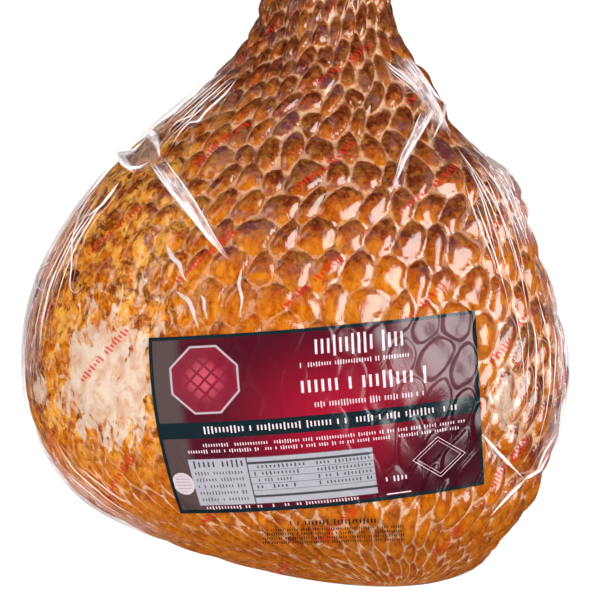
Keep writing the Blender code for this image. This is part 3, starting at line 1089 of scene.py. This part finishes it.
# Bands of doubled film that reach over the ham's side: picture places along their inner side
SIDE_BANDS = {
    "upper_left_band": (((256, 57), (224, 84), (196, 108), (168, 134), (154, 150)), 2.2),
    "left_band": (
        ((138, 166), (108, 198), (80, 238), (60, 280), (49, 326), (44, 372), (50, 420)), 1.4
    ),
    "right_shoulder_band": (((440, 132), (466, 160), (486, 190), (503, 222), (514, 250)), 1.6),
    "right_band": (((520, 246), (536, 290), (548, 340), (549, 390), (540, 436), (524, 480)), 0.8),
    "lower_left_band": (((54, 424), (76, 462), (108, 492), (152, 516), (200, 540)), 0.8),
}
PAST_SIDE = 0.30

# Fine gathers in the film: picture places along both sides of the band that they run in, how
# many there are, and their half width in millimetres
GATHER_HEIGHT = 0.4
GATHER_RIPPLE = 0.4
GATHERS = {
    "shoulder_gather": (
        ((452, 150), (464, 182), (474, 216), (486, 258), (498, 306), (506, 340)),
        ((460, 138), (488, 158), (510, 184), (528, 226), (543, 270), (557, 330)),
        11, 0.28,
    ),
    "upper_left_gather": (
        ((256, 62), (226, 88), (200, 112), (174, 138), (162, 152)),
        ((240, 58), (212, 80), (184, 104), (158, 128), (148, 140)),
        5, 0.36,
    ),
    "left_gather": (
        ((130, 176), (106, 202), (82, 240), (64, 282), (54, 330), (48, 380)),
        ((112, 176), (90, 200), (66, 238), (44, 280), (34, 328), (32, 380)),
        4, 0.34,
    ),
    "right_gather": (
        ((508, 290), (518, 340), (518, 400), (508, 456)),
        ((552, 290), (564, 340), (564, 400), (552, 456)),
        7, 0.26,
    ),
    "lower_left_gather": (
        ((56, 424), (84, 464), (118, 494), (160, 516)),
        ((36, 424), (66, 478), (104, 508), (150, 532)),
        3, 0.24,
    ),
    "flap_gather": (
        ((372, 58), (390, 74), (408, 88), (426, 104)),
        ((404, 56), (414, 70), (426, 86), (438, 102)),
        5, 0.3,
    ),
}
EAR = (
    ((117, 152), (126, 151), (136, 149), (143, 139), (150, 129), (158, 133), (162, 150)),
    ((119, 158), (126, 167), (134, 171), (142, 170), (150, 165), (157, 161), (163, 157)),
    3.0,
)


def stand_of(across, down, stand_off):
    """How far a band of loose film stands off between its two sides."""
    pleats = np.sin(5 * down + 2 * np.sin(4 * across) + 5 * across)
    return stand_off * MM * (0.7 + 0.2 * pleats) * np.sin(math.pi * down) ** 0.5


def make_strip(name, first, second, stand_off, columns=90, rows=14):
    """Loose film that bridges two lines of picture places."""
    across, down = shares(columns, rows)
    x, y = from_pixels(*(traced(first, across) * (1 - down) + traced(second, across) * down))
    stand = stand_of(across, down, stand_off)
    return sheet_of(name, above(x, y, "loose", stand[..., None]), outward(angle_over(x, y), y))


def make_side_band(name, inner, stand_off, columns=90, rows=24):
    """Loose film from a line of picture places over the ham's side to just under it."""
    across, down = shares(columns, rows)
    x, y = from_pixels(*traced(inner, across))
    start = angle_over(x, y)
    end = np.where(start < math.pi / 2, -PAST_SIDE, math.pi + PAST_SIDE)
    angle = end + (start - end) * down
    out = outward(angle, y)
    stand = stand_of(across, down, stand_off)
    return sheet_of(name, on_ham(angle, y, "loose") + stand[..., None] * out, out)


def gathered(inner, outer, count, half_width, seed):
    """Paths of fine gathers that wander along a band, with their half widths."""
    draw = np.random.default_rng(seed)
    for k in range(count):
        start, stop = draw.uniform(0, 0.35), draw.uniform(0.6, 1.0)
        share = np.linspace(start, stop, 9)
        wander = draw.uniform(-0.08, 0.08) * np.sin(6 * share + draw.uniform(0, 6))
        side = (k + 0.5) / count + wander
        places = traced(inner, share) * (1 - side) + traced(outer, share) * side
        yield places.T, half_width * draw.uniform(0.7, 1.4)


def streaked_film(name, reach, dark=(206, 180, 184), pale=(238, 230, 230), veil=0.3, folds=0.75):
    """Doubled film with streaks and white folds that run its length and fade out up to reach."""
    material, bench = new_finish(name)
    across, up = bench.uv("label")
    where = bench.out("ShaderNodeCombineXYZ", {}, {0: across * 1.9, 1: up * 4.5})
    streak = bench.noise(where, 2.4, 3.0, 0.5, 0.4)
    fold = abs(streak - 0.5).step(0.025, 0.0)
    ragged = (streak - 0.5) * 0.5
    sides = (up + ragged * 0.3).between(0.12, reach, 0.14)
    sides = sides * (across + ragged).between(0.12, 0.9, 0.12)
    outer = 0.35 + up.step(0.3, 0.95) * 0.65
    tint = bench.mix_colour(streak.step(0.3, 0.7), paint(*dark), paint(*pale))
    dull = {"Roughness": 0.45, "Specular IOR Level": 0.2}
    milky = bench.principled({"Base Color": tint, **dull, **FILM_GLOW})
    white = bench.principled({"Base Color": paint(240, 234, 234), **dull, **FILM_GLOW})
    share = (streak.step(0.3, 0.66) * 0.45 + veil) * sides * outer
    body = bench.mix_shaders(share, bench.transparent(), milky)
    return finished(material, bench, bench.mix_shaders(fold * sides * folds, body, white))


# The bag's open end: drawn flat beyond the shank, rippled, and sealed across
TAIL_START = 0.146
TAIL_END = 0.1975
TAIL_FLAT_FROM = 0.176
TAIL_HALF_WIDTH = 44.0 * MM
TAIL_HALF_THICKNESS = 0.8 * MM
TAIL_RIPPLE = 4.0 * MM
TAIL_HEIGHT = 34.0 * MM
SEAL_BACK = 7.0 * MM


def make_tail(name, segments=240, rings=60):
    """A flattened tube of film from the shank to the seal, with gathers that fade out."""
    along = np.linspace(TAIL_START, TAIL_END, rings)[:, None]
    turn = np.linspace(0, 2 * math.pi, segments, endpoint=False)[None, :]
    middle, half_width, top, _, underside = section(np.array(TAIL_START))
    ease = blend(TAIL_START, TAIL_FLAT_FROM, along)
    across, up = np.cos(turn), np.sin(turn)
    wide = (1 - ease) * 1.02 * half_width + ease * TAIL_HALF_WIDTH
    seal = np.maximum(0, 1 - np.abs(along - TAIL_END + SEAL_BACK) / (2.5 * MM))
    flat = TAIL_HALF_THICKNESS * (1 - 0.6 * seal)
    thick = (1 - ease) * 1.02 * (top - underside) / 2 + ease * flat
    gathers = np.sin(23 * across + 4 * np.sin(3 * across) + 30 * along / TAIL_END)
    gathers = gathers * 1.1 * MM * ease * (1 - ease) * 4
    ripple = ease * TAIL_RIPPLE * np.sin(3.5 * math.pi * across + 0.6)
    height = (1 - ease) * (top + underside) / 2 + ease * TAIL_HEIGHT
    lift = np.sign(up) * np.abs(up) ** (1 - 0.5 * ease)
    z = height + ripple + gathers + thick * lift
    points = np.stack([middle + wide * across, along + 0 * turn, z], axis=-1).reshape(-1, 3)
    quads = tube_faces(rings, segments)
    last = (rings - 1) * segments
    half = segments // 2
    for k in range(half):
        other = (segments - k) % segments
        beyond = (segments - k - 1) % segments
        if k + 1 < beyond:
            quads.append((last + k, last + other, last + beyond, last + k + 1))
    return linked(name, points.tolist(), [quad for quad in quads if len(set(quad)) > 2])


def add_ham():
    """The meat, the tight film round it and what is printed on the film."""
    meat, meat_points = make_wrap("smoked_ham", "meat")
    for layer, values in zip(SKIN_LAYERS, skin_marks(meat_points)):
        paint_points(meat, layer, values)
    finish(meat, smoked_meat())
    film, _ = make_wrap("clear_bag", "film")
    finish(film, clear_film())
    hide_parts("ham_in_bag")
    finish(make_patch("printed_label", label_edges, 400, 214), label_print())
    finish(make_patch("small_print", black_print_edges, 150, 34), small_black_print())


def add_loose_film():
    """The folds, gathers and bands of loose film, and the bag's sealed end."""
    fold_tree = make_fold_tree(loose_film("milky_film", 0.75))
    trees = {
        # The ear's gathered film glows about three times as strongly: painted light that keeps its
        # folds white where they face away from the lamps.
        "ear": make_fold_tree(loose_film("gathered_film", 1.0, 0.5)),
        "crease": make_fold_tree(loose_film("creased_film", 0.3)),
    }
    for name, fold in FOLDS.items():
        make_fold(name, trees.get(name.split("_")[0], fold_tree), *fold)
    for seed, (name, band) in enumerate(GATHERS.items()):
        for k, (places, width) in enumerate(gathered(*band, seed)):
            make_fold(f"{name}_{k}", fold_tree, places, width, GATHER_HEIGHT, GATHER_RIPPLE)

    pleated = streaked_film("pleated_film", 1.5)
    for name, sides in STRIPS.items():
        finish(make_strip(name, *sides), pleated)
    streaked = streaked_film("streaked_film", 0.74)
    mauve = streaked_film("mauve_film", 0.86, (106, 60, 50), (176, 138, 134), 0.46, 0.4)
    for name, side in SIDE_BANDS.items():
        film = mauve if name in ("left_band", "lower_left_band") else streaked
        finish(make_side_band(name, *side), film)
    finish(make_strip("film_ear", *EAR, 40, 12), loose_film("ear_film", 0.1))
    finish(make_tail("bag_tail"), loose_film("tail_film", 0.3))


# Lamps: place, width and height in metres, and watts. The softboxes light the ham, and the cards
# only show as gloss on its film.
AIM = (0.0, -0.06, 0.10)
SOFTBOXES = {
    "right_softbox": ((0.90, 0.25, 1.02), (0.8, 0.8), 31.0),
    "left_softbox": ((-0.95, 0.05, 0.95), (1.2, 1.2), 27.0),
    "front_softbox": ((-0.30, -1.10, 0.60), (0.9, 0.9), 13.0),
}
CARDS = {
    "right_card": ((1.06, 0.12, 0.91), (1.0, 1.0), 4.7),
    "upper_left_card": ((-0.90, 0.66, 0.85), (0.5, 0.5), 0.3),
}
FLOOR_REACH = 3
SENSOR_WIDTH = 36
LENS = 469
CAMERA_HEIGHT = 4.0
PICTURE_MIDDLE = (300, 300)


def add_light(name, place, size, watts):
    """A rectangular lamp at a place, aimed at the ham."""
    lamp = bpy.data.lights.new(name, "AREA")
    lamp.shape = "RECTANGLE"
    lamp.size, lamp.size_y = size
    lamp.energy = watts
    made = bpy.data.objects.new(name, lamp)
    bpy.context.scene.collection.objects.link(made)
    made.location = place
    way = Vector(AIM) - Vector(place)
    made.rotation_euler = way.to_track_quat("-Z", "Y").to_euler()
    return made


def add_floor():
    """A white floor that gives no reflection on the film."""
    reach = FLOOR_REACH
    corners = [(-reach, -reach, 0), (reach, -reach, 0), (reach, reach, 0), (-reach, reach, 0)]
    floor = linked("floor", corners, [(0, 1, 2, 3)])
    floor_paint, bench = new_finish("floor_paint")
    speckle = bench.noise(bench.place(), 3.0).step(0.2, 0.8)
    grey = bench.tones(speckle, (138, 138, 138), (144, 144, 144))
    glow = {"Emission Color": (1.0, 1.0, 1.0, 1.0), "Emission Strength": 0.8}
    finished(floor_paint, bench, bench.principled({"Base Color": grey, "Roughness": 0.8, **glow}))
    floor.data.materials.append(floor_paint)
    floor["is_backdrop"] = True
    floor.visible_glossy = False


def add_surroundings(scene):
    """Grey walls, brighter at the horizon, that give no reflection on the film."""
    world = bpy.data.worlds.new("surroundings")
    world.use_nodes = True
    bench = Bench(world.node_tree)
    height = bench.split(bench.node("ShaderNodeTexCoord").outputs["Generated"])[2]
    walls = bench.mix_colour(height.step(0.2, 0.8), (0.3, 0.3, 0.31, 1.0), (0.1, 0.1, 0.105, 1.0))
    bench.feed(world.node_tree.nodes["Background"].inputs["Color"], walls)
    world.cycles_visibility.glossy = False
    scene.world = world


def add_camera(scene):
    """A long lens straight above the picture's middle."""
    data = bpy.data.cameras.new("camera")
    data.sensor_width = SENSOR_WIDTH
    data.lens = LENS
    data.clip_end = 20
    camera = bpy.data.objects.new("camera", data)
    scene.collection.objects.link(camera)
    centre_x, centre_y = from_pixels(*PICTURE_MIDDLE)
    camera.location = (float(centre_x), float(centre_y), CAMERA_HEIGHT)
    scene.camera = camera


def main():
    scene = bpy.context.scene
    add_ham()
    add_loose_film()
    add_floor()
    for name, lamp in SOFTBOXES.items():
        add_light(name, *lamp).visible_glossy = False
    for name, lamp in CARDS.items():
        add_light(name, *lamp).visible_diffuse = False
    add_surroundings(scene)
    scene.view_settings.view_transform = "Standard"
    add_camera(scene)

    boxes = {"solids": solids_box, "visual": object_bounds()}
    {k: [list(map(float, c)) for c in v] for k, v in boxes.items()}


main()
